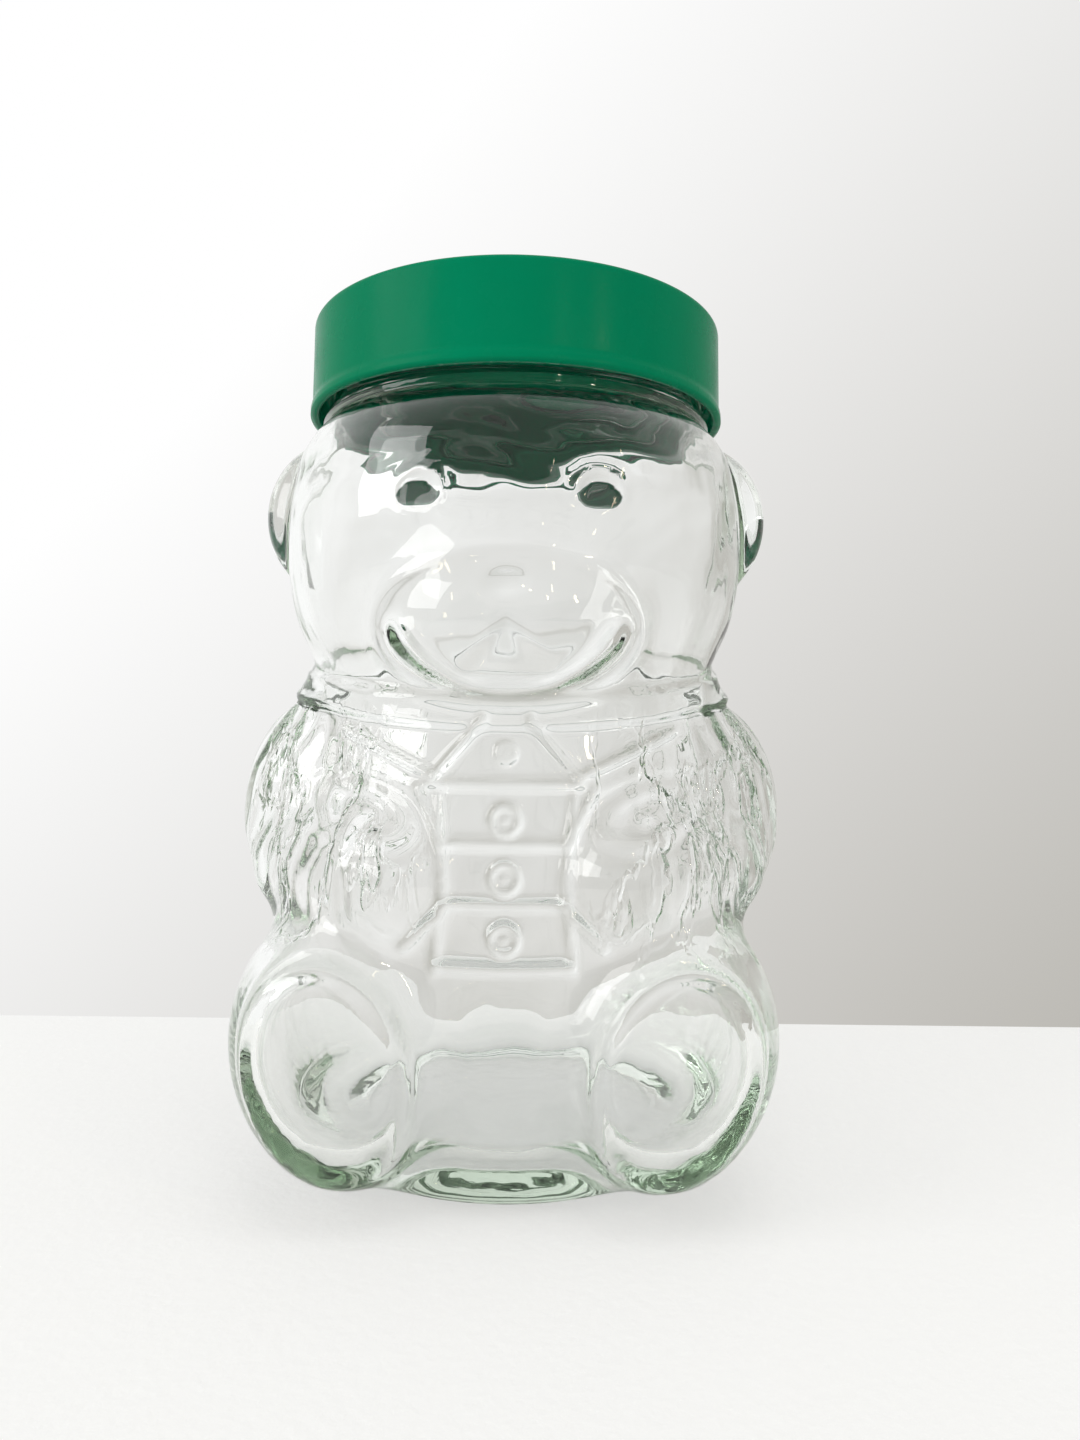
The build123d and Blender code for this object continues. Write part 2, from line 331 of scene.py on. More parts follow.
def leg(side, y, z, body, shrink):
    """Distance from a leg: a leaning oval that swells to the hip and is cut flat at the sole.

    The oval is drawn in along Y by the half width times 1 less the root of 1 - t t, where t is
    how far a point is from the widest place, in lengths of the leg.
    """
    back_share = 1.5
    ahead = body.leg_centre[1] - y
    u, w = leg_offsets(side, ahead, z, body)
    u = u / body.leg_half[0]
    w = w / body.leg_half[2]
    k = np.sqrt(u * u + w * w)
    g = np.sqrt((u / body.leg_half[0]) ** 2 + (w / body.leg_half[2]) ** 2)
    reach = np.where(ahead > 0.0, body.leg_half[1], back_share * body.leg_half[1])
    t = ahead / reach
    drawn = body.leg_half[0] * (1.0 - np.sqrt(np.clip(1.0 - t * t, 0.0, 1.0)))
    drawn = drawn + np.maximum(np.abs(t) - 1.0, 0.0) * reach
    outline = k * (k - 1.0) / np.maximum(g, SMALL) + drawn
    return common(outline, front_y - y, body.sole_round) + shrink


def limbs(x, y, z, body, shrink):
    """Distance from arms and legs, the same on both sides."""
    elbow_join = 4 * MM
    wrist_join = 2.5 * MM
    side = np.abs(x)
    upper = ellipsoid(side, y, z, body.arm_centre, body.arm_half)
    fore = tapered_bar(
        side, y, z, body.elbow, body.wrist, body.elbow_radius, body.wrist_radius
    )
    arm = joined(upper, fore, elbow_join)
    paw = ellipsoid(side, y, z, body.paw_centre, body.paw_half)
    arm = joined(arm, paw, wrist_join)
    return arm + shrink, leg(side, y, z, body, shrink)


def segment(x, z, start, end):
    """Distance from a straight line between two points, seen from the front."""
    run_x = end[0] - start[0]
    run_z = end[1] - start[1]
    along = ((x - start[0]) * run_x + (z - start[1]) * run_z) / (run_x**2 + run_z**2)
    along = np.clip(along, 0.0, 1.0)
    return np.hypot(x - start[0] - along * run_x, z - start[1] - along * run_z)


def ridge(distance, width):
    """A rounded ridge: 1 on its line, falling as the exponential of minus distance squared."""
    return np.exp(-((distance / width) ** 2))


def face_relief(x, y, z, relief):
    """Height of the eyes, their lids, the mouth's groove and the mound above it.

    An eye is an oval wedge that stands out most at its top. The groove is an arc below a point
    over the mouth, wider and deeper towards its corners. The mound widens as it goes down.
    """
    face_from_axis = 20 * MM
    eye_edge = 0.25
    eyelid_squash = 1.15
    eyelid_width = 1.0 * MM
    groove_end = 0.24
    mound_top = relief.smile_height + 12 * MM
    mound_foot = relief.smile_height + 2.5 * MM
    mound_edge = 5.5 * MM
    side = np.abs(x)
    across = side - relief.eye_across
    rise = z - relief.eye_height
    front = inside(y - axis_y + face_from_axis, 6 * MM)
    eye = np.hypot(across / relief.eye_half_width, rise / relief.eye_half_height)
    slant = 0.5 + 0.5 * rise / relief.eye_half_height
    height = relief.eye_raised * slant * inside(eye - 1.0, eye_edge)
    around = np.hypot(across, rise * eyelid_squash)
    above = 0.3 + 0.7 * inside(-rise - 2 * MM, 6 * MM)
    height += relief.lid_raised * ridge(around - relief.lid_radius, eyelid_width) * above
    centre = relief.smile_height + relief.smile_radius
    below = np.arctan2(side, centre - z)
    arc = np.abs(np.hypot(x, z - centre) - relief.smile_radius)
    corner = rounded(below / relief.smile_swing)
    groove_width = (1.0 + 0.8 * corner) * MM
    groove = ridge(arc, groove_width) * inside(below - relief.smile_swing, groove_end)
    height -= relief.smile_depth * groove * (0.25 + 0.75 * corner)
    mound = inside(side - 0.95 * (mound_top - z), mound_edge)
    height += relief.lip_raised * mound * inside(mound_foot - z, 2 * MM)
    return height * front


def coat_relief(x, y, z, relief):
    """Height of the collar, the lapels, the seams and the buttons over the trunk.

    Lines are given by their ends as x and height in millimetres, on the right side. A level seam,
    given by its height and half length, rises sharply and falls away slowly upwards, like a lap
    of cloth. A button, given by its height and size, is a disc with a dish in it and a knob in
    the dish.
    """
    lapel_lines = (
        ((4.4, 91.5), (13.5, 81.0)),
        ((13.5, 81.0), (36.0, 91.0)),
        ((11.4, 57.3), (18.0, 50.4)),
        ((16.5, 79.0), (11.5, 69.0)),
    )
    seams = ((79.0, 15.3), (68.3, 10.5), (57.5, 11.2), (46.2, 12.4))
    buttons = ((85.6, 0.7), (73.4, 1.0), (63.0, 1.0), (52.2, 1.0))
    placket_middle = 62 * MM
    placket_half_tall = 16 * MM
    placket_half_width = 11 * MM
    coat_from_axis = 30 * MM
    collar_edge = 2.2 * MM
    lap_low = 0.8 * MM
    lap_high = 2.8 * MM
    side = np.abs(x)
    front = inside(y - axis_y + coat_from_axis, 6 * MM)
    middle = z - relief.collar_height - relief.collar_slope * (y - axis_y)
    height = inside(np.abs(middle) - relief.collar_tall / 2, collar_edge)
    height = relief.collar_raised * height
    coat = np.zeros(np.shape(x))
    for start, end in lapel_lines:
        line = segment(side, z, [part * MM for part in start], [part * MM for part in end])
        coat = coat + relief.seam_raised * ridge(line, relief.seam_width)
    for seam_height, half_length in seams:
        over = z - seam_height * MM
        lap = rounded(over / lap_low + 0.5) * (1.0 - rounded(over / lap_high))
        coat = coat + relief.seam_raised * lap * inside(side - half_length * MM, 2 * MM)
    from_placket = np.abs(z - placket_middle)
    edge = side - (placket_half_width + 0.10 * from_placket)
    placket = ridge(edge, relief.seam_width) * inside(from_placket - placket_half_tall, 4 * MM)
    coat = coat + 0.7 * relief.seam_raised * placket
    for button_height, size in buttons:
        radius = relief.button_radius * size
        from_middle = np.hypot(x, z - button_height * MM)
        disc = inside(from_middle - radius, 0.7 * MM)
        dish = inside(from_middle - 0.62 * radius, 0.8 * MM)
        knob = inside(from_middle - 0.25 * radius, 0.7 * MM)
        coat = coat + relief.button_raised * (disc - 0.5 * dish + 0.3 * knob)
    return height + coat * front


def sleeve_relief(x, y, z, body, relief):
    """Height of a sleeve's folds, of the creases inside the elbow and of the cuff's edge.

    The folds run upright round the upper arm, bent by two sines of the height, and are lowest
    in front. The creases are rings in an oval, which leans out, and the cuff is one ridge.
    """
    crease_x = 27 * MM
    crease_z = 74 * MM
    crease_half = (12.5 * MM, 6.5 * MM)
    crease_rings = 1.5
    cuff_top = (29 * MM, 74 * MM)
    cuff_foot = (29 * MM, 50 * MM)
    cuff_width = 1.2 * MM
    cuff_raised = 0.9 * MM
    side = np.abs(x)
    turn = np.arctan2(y - body.arm_centre[1], side - body.arm_centre[0])
    rise = (z - body.arm_centre[2]) / body.arm_half[2]
    bend = 0.20 * np.sin(4.0 * rise + 1.5 * turn) + 0.07 * np.sin(9.0 * rise + 1.0)
    fold = np.cos(relief.fold_count * (turn + bend))
    sleeve = inside(ellipsoid(side, y, z, body.arm_centre, body.arm_half) - 2 * MM, 3 * MM)
    reach = inside(np.abs(rise) - 0.86, 0.25)
    forward = 0.25 + 0.75 * rounded((np.abs(turn + 0.1) - 0.25) / 0.5)
    height = relief.fold_raised * (0.5 + 0.5 * fold) * sleeve * reach * forward
    across = side - crease_x
    up = z - crease_z - 0.2 * across
    ring = np.hypot(across / crease_half[0], up / crease_half[1])
    crease = np.cos(tau * crease_rings * ring) * inside(ring - 1.25, 0.5)
    height = height + 0.5 * relief.fold_raised * crease * inside(y + 26 * MM, 8 * MM)
    near_cuff = tapered_bar(
        side, y, z, body.elbow, body.wrist, body.elbow_radius, body.wrist_radius
    )
    cuff = ridge(segment(side, z, cuff_top, cuff_foot), cuff_width)
    cuff = cuff * inside(near_cuff - 1 * MM, 2 * MM) * inside(y + 24 * MM, 4 * MM)
    return height + cuff_raised * cuff


def sole_relief(x, y, z, body, relief):
    """Height of the rim round a sole: a ridge just inside the leg's outline where it is cut."""
    rim_share = 0.97
    rim_width = 1.2 * MM
    ahead = body.leg_centre[1] - front_y
    u, w = leg_offsets(np.abs(x), ahead, z, body)
    t = ahead / body.leg_half[1]
    drawn = body.leg_half[0] * (1.0 - sqrt(1.0 - t * t))
    flat_x = body.leg_half[0] - drawn
    flat_z = body.leg_half[2] - drawn
    rim = (np.hypot(u / flat_x, w / flat_z) - rim_share) * flat_x
    sole = inside(y - front_y - 5 * MM, 3 * MM)
    return relief.pad_raised * ridge(rim, rim_width) * sole


def outside_distance(x, y, z, body, relief):
    """Distance from the outer skin, without the neck."""
    snout_join = 1.5 * MM
    ear_join = 3 * MM
    dish_edge = 4 * MM
    side = np.abs(x)
    shape = trunk(x, y, z, body, 0.0)
    muzzle = ellipsoid(x, y, z, body.muzzle_centre, body.muzzle_half)
    shape = joined(shape, muzzle, snout_join)
    shape = joined(shape, ellipsoid(x, y, z, body.nose_centre, body.nose_half), snout_join)
    shape = joined(shape, ellipsoid(side, y, z, body.ear_centre, body.ear_half), ear_join)
    arm, foot = limbs(x, y, z, body, 0.0)
    shape = joined(shape, arm, body.join)
    shape = joined(shape, foot, body.join)
    shape = shape - face_relief(x, y, z, relief) - coat_relief(x, y, z, relief)
    shape = shape - sleeve_relief(x, y, z, body, relief) - sole_relief(x, y, z, body, relief)
    dish = np.hypot(x, y - axis_y) - (body.base_radius - body.rest_ring)
    lift = body.push_up * inside(dish, dish_edge)
    return common(shape, lift - z, body.base_rounding)


def wall_waves(x, y, z, relief):
    """Unevenness of the inner wall: sines along one direction, bent by sines along another.

    Slow ones run both ways. Fine upright ones are added in the sleeves and level ones over the
    eyes. They fade out below the neck, and for the most part over the floor.
    """
    wave = np.sin(x / (7.3 * MM) + 2.1 * np.sin(z / (11.0 * MM)))
    wave = wave + np.sin(z / (5.9 * MM) + 1.7 * np.sin(x / (9.0 * MM) + y / (13.0 * MM)))
    streak = np.sin(x / (2.3 * MM) + 2.6 * np.sin(z / (14.0 * MM)) + y / (4.1 * MM))
    sleeve = inside(np.abs(z - 74 * MM) - 20 * MM, 14 * MM) * inside(24 * MM - np.abs(x), 10 * MM)
    fine = np.sin(x / (0.85 * MM) + 2.6 * np.sin(z / (7.0 * MM)) + 1.2 * np.sin(z / (2.9 * MM)))
    level = np.sin(z / (1.15 * MM) + 1.8 * np.sin(x / (10.0 * MM)) + 1.2 * np.sin(x / (4.3 * MM)))
    crown = inside(134 * MM - z, 8 * MM)
    wave = wave + 0.22 * streak + 0.6 * fine * sleeve + 0.5 * level * crown
    wave = wave * inside(z - 149 * MM, 8 * MM) * (1.0 - 0.8 * inside(z - 34 * MM, 16 * MM))
    return wave * relief.wave_inside / 2


def inside_distance(x, y, z, body, relief):
    """Distance from the inner skin: the same forms, smoother and a wall smaller.

    The wall grows thicker from the hips down to the floor.
    """
    thick_below = 30 * MM
    inner_snout_join = 8 * MM
    inner_floor_round = 9 * MM
    thick = body.wall + body.wall_more * rounded((thick_below - z) / thick_below)
    shape = trunk(x, y, z, body, thick)
    muzzle = ellipsoid(x, y, z, body.muzzle_centre, body.muzzle_half) + thick + 1 * MM
    shape = joined(shape, muzzle, inner_snout_join)
    arm, foot = limbs(x, y, z, body, thick)
    shape = joined(shape, arm, 2 * body.join)
    shape = joined(shape, foot, 2 * body.join)
    shape = shape + wall_waves(x, y, z, relief)
    return common(shape, body.floor_glass - z, inner_floor_round)


def turns(columns, front_share):
    """Angles round the axis, closer at the front: t less front_share times the sine of t."""
    turn = np.arange(columns) * tau / columns
    return turn - front_share * np.sin(turn)


def ray_fan(turn, pole_rows, levels, rows):
    """Starts and directions of rays: a fan from straight down to level, then level up the axis.

    Between one level and the next, the rows are evenly spaced.
    """
    spans = [np.linspace(low, high, n + 1)[1:] for low, high, n in zip(levels, levels[1:], rows)]
    climb = np.concatenate([np.full(pole_rows, levels[0]), *spans])
    dip = np.concatenate([np.linspace(-pi / 2, 0.0, pole_rows + 1)[1:], np.zeros(sum(rows))])
    flat = np.cos(dip)[:, None]
    heading = np.stack(
        [
            flat * np.sin(turn),
            -flat * np.cos(turn),
            np.sin(dip)[:, None] + np.zeros(len(turn)),
        ],
        axis=-1,
    )
    start = np.zeros((len(climb), 1, 3))
    start[:, 0, 1] = axis_y
    start[:, 0, 2] = climb
    return start, heading


def outermost(distance, start, heading, reach, steps=48, halvings=14):
    """The outermost point of each ray where the distance is zero.

    Steps from the far end find where it turns negative, and halving the step closes in on it.
    """
    found = np.full(heading.shape[:2], 0.0)
    searching = np.ones(heading.shape[:2], dtype=bool)
    for far in np.linspace(reach, 0.0, steps):
        point = start + heading * far
        hit = searching & (distance(point[..., 0], point[..., 1], point[..., 2]) < 0.0)
        found[hit] = far
        searching &= ~hit
        if not searching.any():
            break
    low = found
    high = found + reach / (steps - 1)
    for _ in range(halvings):
        middle = (low + high) / 2
        point = start + heading * middle[..., None]
        hit = distance(point[..., 0], point[..., 1], point[..., 2]) < 0.0
        low = np.where(hit, middle, low)
        high = np.where(hit, high, middle)
    return start + heading * ((low + high) / 2)[..., None]


def settled(distance, grid, rounds):
    """Evens out a grid of points on a skin.

    Each round moves every point halfway to the mean of its four neighbours, and then back along
    the slope of the distance until it lies on the skin. The first and last rows stay.
    """
    tiny = 0.05 * MM
    for _ in range(rounds):
        around = (np.roll(grid, 1, axis=1) + np.roll(grid, -1, axis=1)) / 2
        along = grid.copy()
        along[1:-1] = (grid[2:] + grid[:-2]) / 2
        moved = grid.copy()
        moved[1:-1] = grid[1:-1] / 2 + (around[1:-1] + along[1:-1]) / 4
        for _ in range(2):
            x, y, z = moved[..., 0], moved[..., 1], moved[..., 2]
            here = distance(x, y, z)
            slope = np.stack(
                [
                    distance(x + tiny, y, z) - here,
                    distance(x, y + tiny, z) - here,
                    distance(x, y, z + tiny) - here,
                ],
                axis=-1,
            )
            slope /= tiny
            steep = np.maximum((slope**2).sum(axis=-1), 0.25)
            step = np.clip(here / steep, -2 * MM, 2 * MM)
            step[0] = 0.0
            step[-1] = 0.0
            moved = moved - slope * step[..., None]
        grid = moved
    return grid


def thread_height(turn, z, first, finish, phase=0.0):
    """Height of a right-hand thread at each turn and height on a round wall.

    The ridge's middle climbs by the pitch in each turn, and its ends run out over a tenth of one.
    """
    height = np.zeros(np.broadcast(turn, z).shape)
    share_of_turn = np.mod(turn, tau) / tau
    for lap in range(int(finish.thread_turns) + 1):
        along = share_of_turn + lap
        middle = first + phase + finish.thread_pitch * along
        ends = rounded(along / 0.1) * rounded((finish.thread_turns - along) / 0.1)
        height = height + ends * inside(
            np.abs(z - middle) - 0.72 * finish.thread_half, 0.56 * finish.thread_half
        )
    return height


def turned(radius, height, turn):
    """Points on circles about the neck's axis, from a radius and a height for each row."""
    radius, height, turn = np.broadcast_arrays(radius, height[:, None], turn)
    return np.stack([radius * np.sin(turn), axis_y - radius * np.cos(turn), height], axis=-1)


def neck_rows(turn, finish, body, low):
    """Rows of the neck, from the shoulder's last row over the rim and down the bore.

    The wall's radius is the neck's, with one ridge where it grows out of the shoulder and one
    for the bead, and the rim's two corners are quarter circles.
    """
    climb_rows = 30
    corner_rows = 6
    bore_rows = 9
    corner = finish.rim_round
    top = rim_height
    climb = np.linspace(low, top - corner, climb_rows)[1:]
    root = (body.root_radius - finish.neck_radius) * ridge(climb - low, 1.2 * MM)
    bead_raised = finish.bead_radius - finish.neck_radius
    bead = bead_raised * ridge(climb - finish.bead_height, finish.bead_half)
    outer = finish.neck_radius + root + bead
    bend = np.linspace(0.0, pi / 2, corner_rows)[1:]
    over = finish.neck_radius - corner + corner * np.cos(bend)
    over_z = top - corner + corner * np.sin(bend)
    back = finish.mouth_radius + corner - corner * np.sin(bend)
    back_z = top - corner + corner * np.cos(bend)
    bore_z = np.linspace(top - corner, low + 0.6 * MM, bore_rows)[1:]
    bore = np.full(len(bore_z), finish.mouth_radius)
    radius = np.concatenate([outer, over, [finish.mouth_radius + corner], back, bore])
    height = np.concatenate([climb, over_z, [top], back_z, bore_z])
    grid = radius[:, None] + np.zeros(len(turn))
    first = top - finish.thread_below_rim - finish.thread_turns * finish.thread_pitch
    raised = thread_height(turn[None, :], climb[:, None], first, finish)
    grid[: len(climb)] += finish.thread_raised * raised
    return turned(grid, height, turn)


def grid_quads(rows, columns, bands):
    """Corners of the quads in each band between two rows, which run round an axis.

    There are as many bands as rows where the last row meets the first, and else one less.
    """
    row, column = np.meshgrid(np.arange(bands), np.arange(columns), indexing="ij")
    above = (row + 1) % rows
    beside = (column + 1) % columns
    corners = [
        row * columns + column,
        row * columns + beside,
        above * columns + beside,
        above * columns + column,
    ]
    return np.stack(corners, axis=-1).reshape(-1, 4)


def finished_piece(mesh):
    """A smooth piece with its mesh's name."""
    mesh.validate()
    mesh.shade_smooth()
    piece = bpy.data.objects.new(mesh.name, mesh)
    bpy.context.scene.collection.objects.link(piece)
    return piece


def skin_piece(name, grid, first_pole, last_pole):
    """A closed piece from rows of points that run round an axis, with a pole at each end."""
    rows, columns = grid.shape[:2]
    points = np.concatenate([grid.reshape(-1, 3), [first_pole], [last_pole]])
    quads = grid_quads(rows, columns, rows - 1)
    here = np.arange(columns)
    after = (here + 1) % columns
    first_fan = np.stack([after, here, np.full(columns, rows * columns)], axis=-1)
    last = (rows - 1) * columns
    last_fan = np.stack([last + here, last + after, np.full(columns, rows * columns + 1)], axis=-1)
    corners = np.concatenate([quads.ravel(), first_fan.ravel(), last_fan.ravel()])
    sizes = np.concatenate([np.full(len(quads), 4), np.full(2 * columns, 3)])
    starts = np.concatenate([[0], np.cumsum(sizes)[:-1]])
    mesh = bpy.data.meshes.new(name)
    mesh.vertices.add(len(points))
    mesh.vertices.foreach_set("co", points.astype(np.float32).ravel())
    mesh.loops.add(len(corners))
    mesh.loops.foreach_set("vertex_index", corners.astype(np.int32))
    mesh.polygons.add(len(sizes))
    mesh.polygons.foreach_set("loop_start", starts.astype(np.int32))
    mesh.update(calc_edges=True)
    return finished_piece(mesh)


def new_material(name):
    """An empty material with its output node."""
    material = bpy.data.materials.new(name)
    material.use_nodes = True
    nodes = material.node_tree.nodes
    nodes.clear()
    output = nodes.new("ShaderNodeOutputMaterial")
    return material, nodes, material.node_tree.links, output


def drawn_noise_group():
    """The node group for waves, grain, mottle and marks, built once.

    It is noise on the piece's own coordinates times Stretch, so that it is drawn out along an
    axis whose part of Stretch is less than 1.
    """
    name = "Drawn Noise"
    if name in bpy.data.node_groups:
        return bpy.data.node_groups[name]
    group = bpy.data.node_groups.new(name, "ShaderNodeTree")
    group.interface.new_socket("Scale", in_out="INPUT", socket_type="NodeSocketFloat")
    group.interface.new_socket("Detail", in_out="INPUT", socket_type="NodeSocketFloat")
    group.interface.new_socket("Stretch", in_out="INPUT", socket_type="NodeSocketVector")
    group.interface.new_socket("Noise", in_out="OUTPUT", socket_type="NodeSocketFloat")
    given = group.nodes.new("NodeGroupInput")
    result = group.nodes.new("NodeGroupOutput")
    where = group.nodes.new("ShaderNodeTexCoord")
    mapping = group.nodes.new("ShaderNodeMapping")
    noise = group.nodes.new("ShaderNodeTexNoise")
    group.links.new(where.outputs["Object"], mapping.inputs["Vector"])
    group.links.new(given.outputs["Stretch"], mapping.inputs["Scale"])
    group.links.new(mapping.outputs["Vector"], noise.inputs["Vector"])
    group.links.new(given.outputs["Scale"], noise.inputs["Scale"])
    group.links.new(given.outputs["Detail"], noise.inputs["Detail"])
    group.links.new(noise.outputs["Fac"], result.inputs["Noise"])
    return group


def drawn_noise(nodes, scale, detail, stretch=(1.0, 1.0, 1.0)):
    """Places the noise group in a material, with values of its own."""
    node = nodes.new("ShaderNodeGroup")
    node.node_tree = drawn_noise_group()
    node.inputs["Scale"].default_value = scale
    node.inputs["Detail"].default_value = detail
    node.inputs["Stretch"].default_value = stretch
    return node.outputs["Noise"]


def ranged(nodes, links, source, low, high, start=0.35, end=0.65):
    """Carries a value from one range into another."""
    node = nodes.new("ShaderNodeMapRange")
    node.inputs["From Min"].default_value = start
    node.inputs["From Max"].default_value = end
    node.inputs["To Min"].default_value = low
    node.inputs["To Max"].default_value = high
    links.new(source, node.inputs["Value"])
    return node.outputs["Result"]


def set_input(links, socket, value):
    """Sets a socket from another node's output, or else from a plain number or colour."""
    if isinstance(value, bpy.types.NodeSocket):
        links.new(value, socket)
    else:
        socket.default_value = value


def calculated(nodes, links, operation, first, second=0.0):
    """One sum of two values, each a number or another node's output."""
    node = nodes.new("ShaderNodeMath")
    node.operation = operation
    set_input(links, node.inputs[0], first)
    set_input(links, node.inputs[1], second)
    return node.outputs["Value"]


def mixed(nodes, links, factor, first, second):
    """A colour between two, each plain or another node's output."""
    node = nodes.new("ShaderNodeMix")
    node.data_type = "RGBA"
    links.new(factor, node.inputs["Factor"])
    set_input(links, node.inputs["A"], first)
    set_input(links, node.inputs["B"], second)
    return node.outputs["Result"]


def mixed_shader(nodes, links, factor, first, second):
    """A shader between two."""
    node = nodes.new("ShaderNodeMixShader")
    links.new(factor, node.inputs["Fac"])
    links.new(first, node.inputs[1])
    links.new(second, node.inputs[2])
    return node.outputs["Shader"]


def sleeve_streaks(nodes, links):
    """Jagged upright lines in the sleeves' glass.

    A narrow ridge runs where a stretched noise passes its middle value, and only
    at the height of the arms and out to the sides.
    """
    noise = drawn_noise(nodes, scale=74.0, detail=4.0, stretch=(1.0, 0.6, 0.36))
    from_middle = calculated(nodes, links, "SUBTRACT", noise, 0.5)
    from_middle = calculated(nodes, links, "ABSOLUTE", from_middle)
    line = ranged(nodes, links, from_middle, 1.0, 0.0, start=0.0, end=0.022)
    where = nodes.new("ShaderNodeTexCoord")
    parts = nodes.new("ShaderNodeSeparateXYZ")
    links.new(where.outputs["Object"], parts.inputs["Vector"])
    aside = calculated(nodes, links, "ABSOLUTE", parts.outputs["X"])
    height = parts.outputs["Z"]
    outward = ranged(nodes, links, aside, 0.0, 1.0, start=13 * MM, end=19 * MM)
    inward = ranged(nodes, links, aside, 1.0, 0.0, start=48 * MM, end=56 * MM)
    above = ranged(nodes, links, height, 0.0, 1.0, start=48 * MM, end=58 * MM)
    below = ranged(nodes, links, height, 1.0, 0.0, start=85 * MM, end=95 * MM)
    kept = calculated(nodes, links, "MULTIPLY", above, below)
    kept = calculated(nodes, links, "MULTIPLY", kept, outward)
    kept = calculated(nodes, links, "MULTIPLY", kept, inward)
    return calculated(nodes, links, "MULTIPLY", line, kept)


def bumped(nodes, links, source, distance, strength, under=None):
    """A bump from a height, laid over another bump where one is given."""
    bump = nodes.new("ShaderNodeBump")
    if under is not None:
        links.new(under, bump.inputs["Normal"])
    bump.inputs["Distance"].default_value = distance
    bump.inputs["Strength"].default_value = strength
    links.new(source, bump.inputs["Height"])
    return bump.outputs["Normal"]


def jar_glass_material(looks):
    """Clear moulded glass: waves, streaks in the sleeves, faint smears, and green in its depth."""
    material, nodes, links, output = new_material("Moulded Jar Glass")
    shader = nodes.new("ShaderNodeBsdfPrincipled")
    shader.inputs["Base Color"].default_value = (1.0, 1.0, 1.0, 1.0)
    shader.inputs["IOR"].default_value = 1.5
    shader.inputs["Transmission Weight"].default_value = 1.0
    smears = drawn_noise(nodes, scale=55.0, detail=4.0, stretch=(1.0, 1.0, 0.5))
    rough = ranged(nodes, links, smears, 0.0, 0.045, start=0.5, end=0.8)
    links.new(rough, shader.inputs["Roughness"])
    waves = drawn_noise(nodes, scale=90.0, detail=2.0, stretch=(1.0, 1.0, 0.6))
    slow = bumped(nodes, links, waves, distance=0.6 * MM, strength=0.35)
    streaks = sleeve_streaks(nodes, links)
    lines = bumped(nodes, links, streaks, distance=0.3 * MM, strength=1.0, under=slow)
    links.new(lines, shader.inputs["Normal"])
    depth = nodes.new("ShaderNodeVolumeAbsorption")
    depth.inputs["Color"].default_value = looks.glass_tint
    depth.inputs["Density"].default_value = looks.glass_depth
    links.new(shader.outputs["BSDF"], output.inputs["Surface"])
    links.new(depth.outputs["Volume"], output.inputs["Volume"])
    return material


def lid_plastic_material(looks):
    """Green moulded plastic: upright flow marks, a satin gloss and a fine grain."""
    material, nodes, links, output = new_material("Moulded Lid Plastic")
    shader = nodes.new("ShaderNodeBsdfPrincipled")
    flow = drawn_noise(nodes, scale=40.0, detail=5.0, stretch=(1.0, 1.0, 0.12))
    marks = ranged(nodes, links, flow, 0.0, 1.0)
    green = mixed(nodes, links, marks, looks.lid_colour, looks.lid_deep)
    links.new(green, shader.inputs["Base Color"])
    rub = drawn_noise(nodes, scale=160.0, detail=6.0)
    links.new(ranged(nodes, links, rub, 0.20, 0.30), shader.inputs["Roughness"])
    grain = drawn_noise(nodes, scale=1400.0, detail=3.0)
    fine = bumped(nodes, links, grain, distance=0.2 * MM, strength=0.12)
    links.new(fine, shader.inputs["Normal"])
    shader.inputs["IOR"].default_value = 1.3
    shader.inputs["Specular IOR Level"].default_value = 0.08
    shader.inputs["Subsurface Weight"].default_value = 0.05
    shader.inputs["Subsurface Scale"].default_value = 1 * MM
    links.new(shader.outputs["BSDF"], output.inputs["Surface"])
    return material


def ring_rubber_material(looks):
    """Dark green sealing compound, matt, with a slight mottle."""
    material, nodes, links, output = new_material("Sealing Ring Rubber")
    shader = nodes.new("ShaderNodeBsdfPrincipled")
    mottle = drawn_noise(nodes, scale=300.0, detail=4.0)
    paler = (*(1.6 * part for part in looks.ring_colour[:3]), 1.0)
    spots = ranged(nodes, links, mottle, 0.0, 1.0)
    green = mixed(nodes, links, spots, looks.ring_colour, paler)
    links.new(green, shader.inputs["Base Color"])
    links.new(ranged(nodes, links, mottle, 0.5, 0.7), shader.inputs["Roughness"])
    fine = bumped(nodes, links, mottle, distance=0.1 * MM, strength=0.2)
    links.new(fine, shader.inputs["Normal"])
    links.new(shader.outputs["BSDF"], output.inputs["Surface"])
    return material


